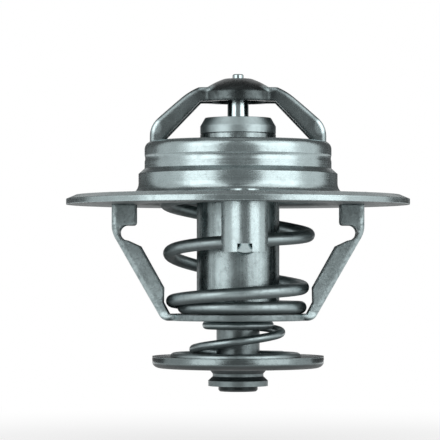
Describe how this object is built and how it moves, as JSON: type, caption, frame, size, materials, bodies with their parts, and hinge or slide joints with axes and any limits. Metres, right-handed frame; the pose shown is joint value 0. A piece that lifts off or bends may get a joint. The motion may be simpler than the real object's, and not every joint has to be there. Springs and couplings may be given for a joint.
{
  "type": "engine thermostat",
  "caption": "Flanged wax-element engine thermostat with an arched bridge, a conical main spring, a channel-leg frame, a sliding bypass disc below and a small vent valve.",
  "frame": {"origin": "centre of the flange's flat underside", "axes": "+Z along the piston towards the arched bridge, X across the lower frame's two legs, -Y to the vent valve"},
  "size_m": [0.054, 0.054, 0.0498],
  "materials": {
    "housing_steel": "bright pressed steel",
    "bridge_steel": "bright pressed steel",
    "piston_steel": "ground and polished",
    "guide_brass": "turned, tinned brass",
    "cup_metal": "drawn and tinned",
    "stem_metal": "turned and tinned",
    "seal_rubber": "moulded rubber",
    "washer_plastic": "turned white plastic",
    "wax": "cast wax",
    "disc_steel": "pressed steel",
    "spring_steel": "dull spring wire",
    "bypass_wire": "bright spring wire",
    "frame_steel": "pressed steel",
    "bypass_steel": "darker pressed steel",
    "vent_steel": "pressed steel"
  },
  "bodies": {
    "housing": {"flange_housing": "housing_steel", "upper_bridge": "bridge_steel", "piston": "piston_steel", "lower_frame": "frame_steel", "main_spring": "spring_steel", "vent_body": "vent_steel"},
    "element": {"piston_guide": "guide_brass", "piston_wiper": "seal_rubber", "backup_washer": "washer_plastic", "rubber_sleeve": "seal_rubber", "wax_charge": "wax", "wax_cup": "cup_metal", "disc_lock_ring": "spring_steel", "main_valve_disc": "disc_steel", "valve_seal": "seal_rubber", "bypass_stem": "stem_metal", "bypass_retainer": "bypass_steel", "bypass_spring": "bypass_wire"},
    "bypass_valve": {"bypass_disc": "bypass_steel"},
    "vent_float": {"vent_ball": "vent_steel"}
  },
  "joints": [
    {"name": "element_travel", "type": "slide", "parent": "housing", "child": "element", "axis": [0, 0, -1], "range_m": [0, 0.008], "stiffness_N_per_m": 5900, "springref_m": -0.011, "deforming": ["main_spring"]},
    {"name": "bypass_lift", "type": "slide", "parent": "element", "child": "bypass_valve", "axis": [0, 0, 1], "range_m": [0, 0.003], "stiffness_N_per_m": 2500, "springref_m": -0.002, "deforming": ["bypass_spring"]},
    {"name": "vent_ball_lift", "type": "slide", "parent": "housing", "child": "vent_float", "axis": [0, 0, 1], "range_m": [0, 0.0014]}
  ]
}
